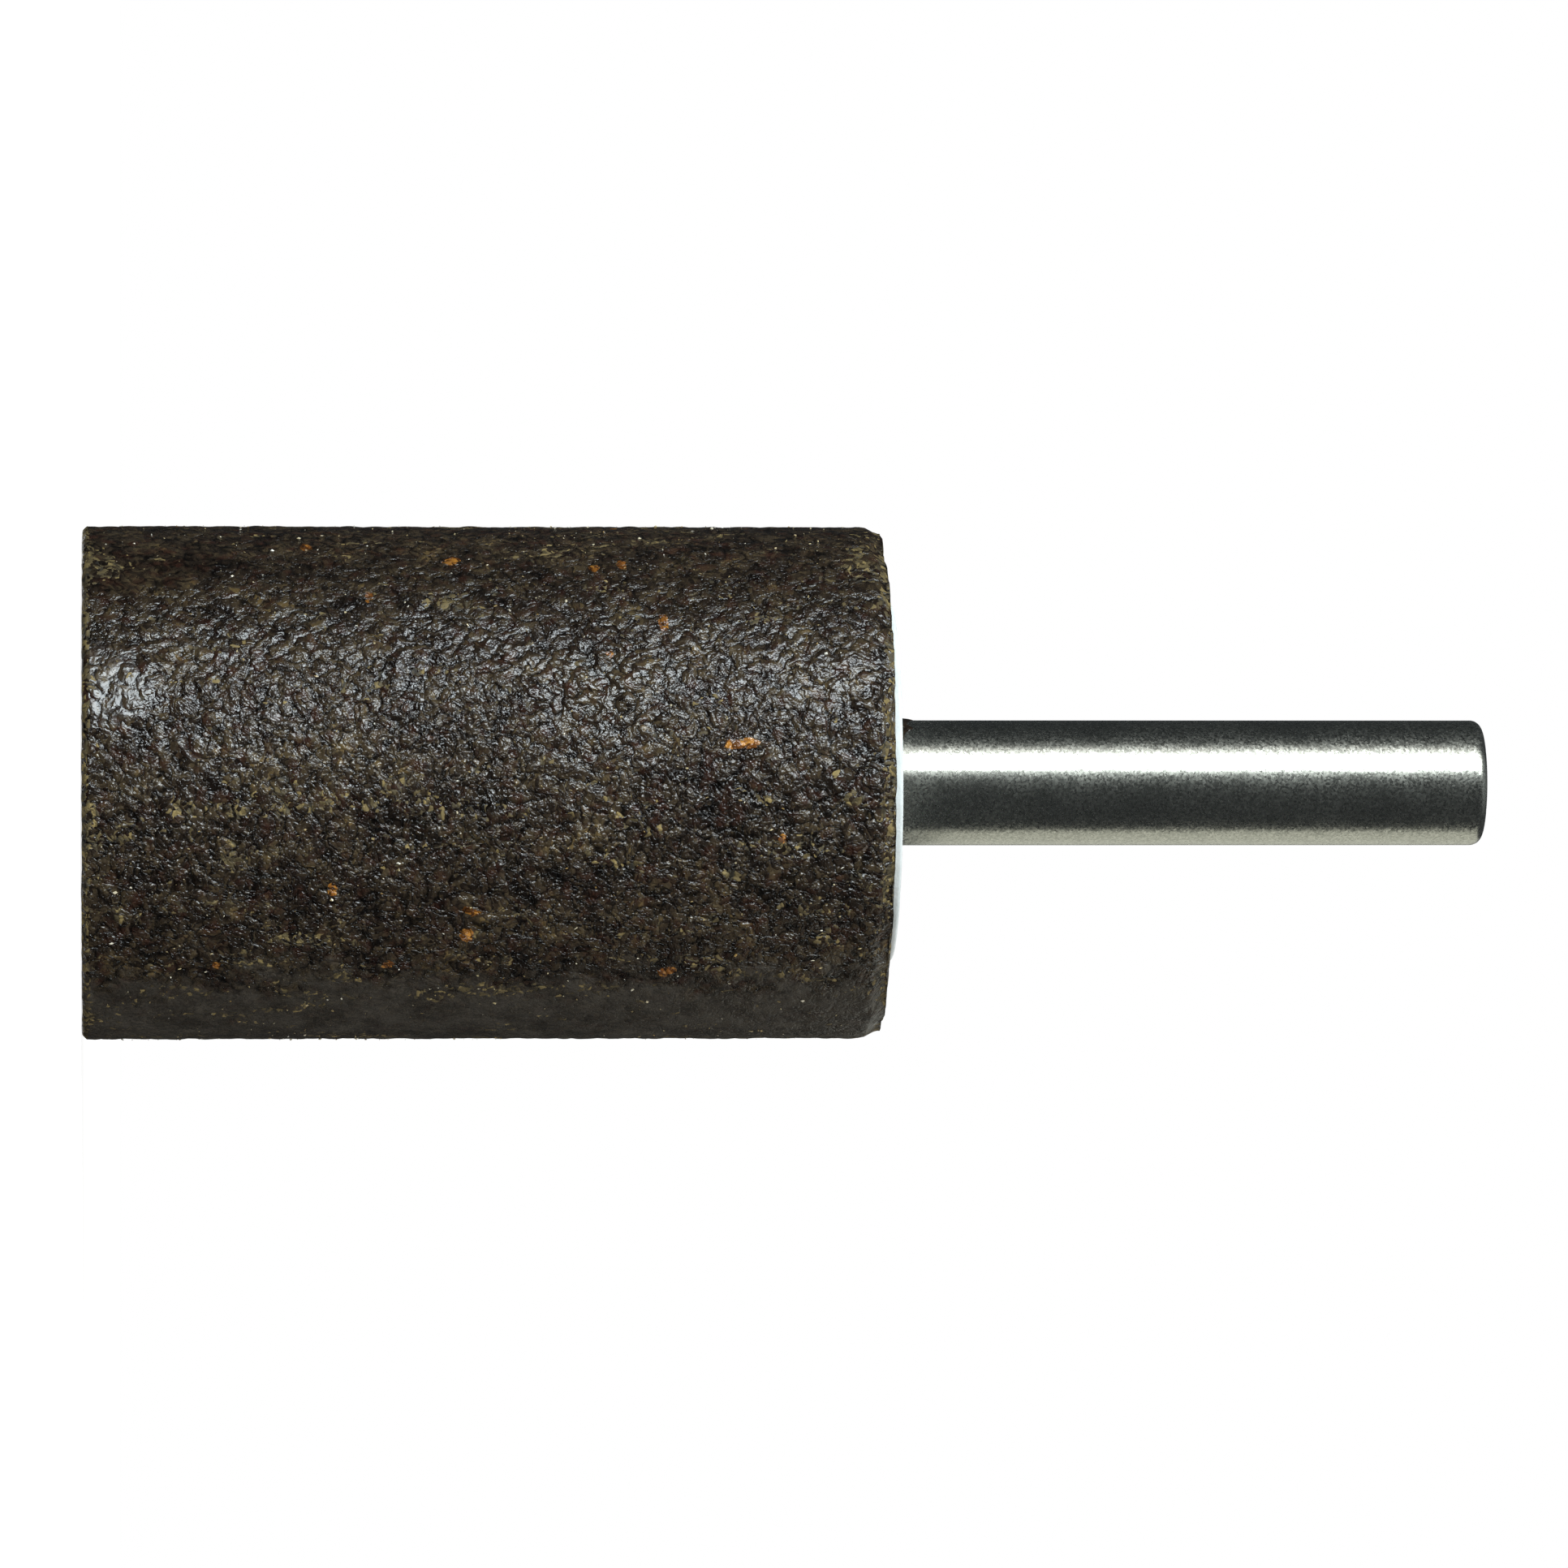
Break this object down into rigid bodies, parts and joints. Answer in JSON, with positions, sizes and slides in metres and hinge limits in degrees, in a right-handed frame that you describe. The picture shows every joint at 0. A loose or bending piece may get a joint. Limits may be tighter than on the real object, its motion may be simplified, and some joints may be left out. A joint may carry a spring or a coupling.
{
  "type": "mounted point",
  "caption": "Cylindrical mounted point: a dark resin-bonded abrasive body cemented onto a ground steel shank, for grinding and deburring in a die grinder.",
  "frame": {"origin": "centre of the free grinding face, on the axis of rotation", "axes": "+Z along the axis of rotation, from the free grinding face towards the shank; X and Y across it, with no preferred direction"},
  "size_m": [0.0246, 0.0246, 0.0672],
  "materials": {
    "bonded_abrasive": "moulded resin-bonded abrasive, near-black brown, granular with glossy grains",
    "ground_steel": "centreless ground, satin bright",
    "blotter_paper": "blank pale grey paper",
    "cement": "cured resin cement, dark amber, glossy"
  },
  "bodies": {
    "root": {"abrasive_body": "bonded_abrasive", "shank": "ground_steel", "paper_blotter": "blotter_paper", "shank_cement": "cement"}
  },
  "joints": []
}
